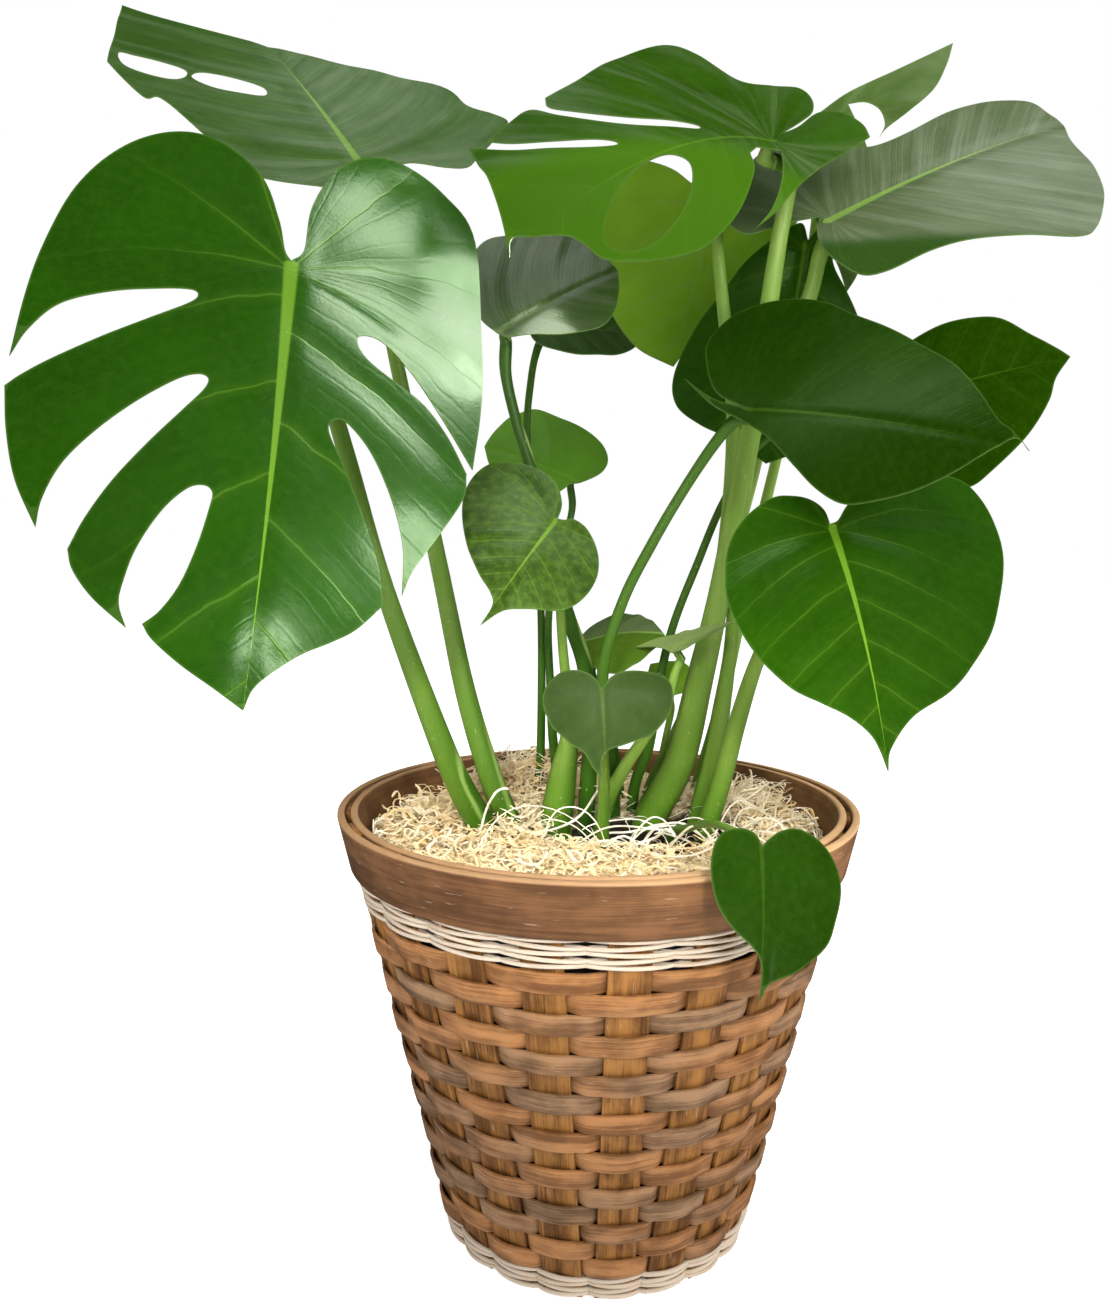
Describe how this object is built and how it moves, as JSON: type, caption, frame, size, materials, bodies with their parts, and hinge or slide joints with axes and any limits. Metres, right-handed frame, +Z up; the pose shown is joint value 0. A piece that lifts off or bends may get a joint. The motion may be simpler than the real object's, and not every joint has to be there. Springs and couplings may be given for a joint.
{
  "type": "potted monstera",
  "caption": "Young split-leaf monstera in a growing pot, set in a tapered woven splint basket with a hooped rim, pale reed bands and a bed of wood wool.",
  "frame": {"origin": "centre of the basket's flat foot, on the floor", "axes": "+Z up the basket's axis, -Y towards the front, where the large split leaf hangs to the left and a small heart-shaped leaf hangs over the rim to the right, +X to the right of the front"},
  "size_m": [0.5703, 0.321, 0.6988],
  "materials": {
    "stake_wood": "sawn, golden brown",
    "strip_wood": "sawn, grey brown, uneven",
    "hoop_wood": "bent band, satin",
    "pale_reed": "bleached, matt",
    "black_plastic": "matt",
    "potting_soil": "loose, crumbly",
    "wood_wool": "loose curls, matt",
    "leaf_green": "waxy leaf, glossy",
    "young_leaf_green": "waxy leaf, light green",
    "stalk_green": "smooth stalk, satin"
  },
  "bodies": {
    "root": {"stakes": "stake_wood", "strips": "strip_wood", "rim_outer": "hoop_wood", "rim_inner": "hoop_wood", "reed_top": "pale_reed", "reed_foot": "pale_reed", "growing_pot": "black_plastic", "soil": "potting_soil", "wood_wool": "wood_wool", "leaf_01_front_left": "leaf_green", "stalk_01_front_left": "stalk_green", "leaf_02_back_left": "leaf_green", "stalk_02_back_left": "stalk_green", "leaf_03_top_centre": "leaf_green", "stalk_03_top_centre": "stalk_green", "leaf_04_top_behind": "leaf_green", "stalk_04_top_behind": "stalk_green", "leaf_05_backlit": "young_leaf_green", "stalk_05_backlit": "stalk_green", "leaf_06_top_right": "leaf_green", "stalk_06_top_right": "stalk_green", "leaf_07_dark_middle": "leaf_green", "stalk_07_dark_middle": "stalk_green", "leaf_08_big_right": "leaf_green", "stalk_08_big_right": "stalk_green", "leaf_09_dark_right": "leaf_green", "stalk_09_dark_right": "stalk_green", "leaf_10_right_heart": "leaf_green", "stalk_10_right_heart": "stalk_green", "leaf_11_rim_heart": "leaf_green", "stalk_11_rim_heart": "stalk_green", "leaf_12_front_heart": "leaf_green", "stalk_12_front_heart": "stalk_green", "leaf_13_left_heart": "leaf_green", "stalk_13_left_heart": "stalk_green", "leaf_14_back_heart": "leaf_green", "stalk_14_back_heart": "stalk_green", "leaf_15_grey_heart": "leaf_green", "stalk_15_grey_heart": "stalk_green", "leaf_16_behind_grey": "leaf_green", "stalk_16_behind_grey": "stalk_green", "leaf_17_curled": "leaf_green", "stalk_17_curled": "stalk_green", "leaf_18_edge_on": "young_leaf_green", "stalk_18_edge_on": "stalk_green", "leaf_19_small_olive": "young_leaf_green", "stalk_19_small_olive": "stalk_green"}
  },
  "joints": []
}
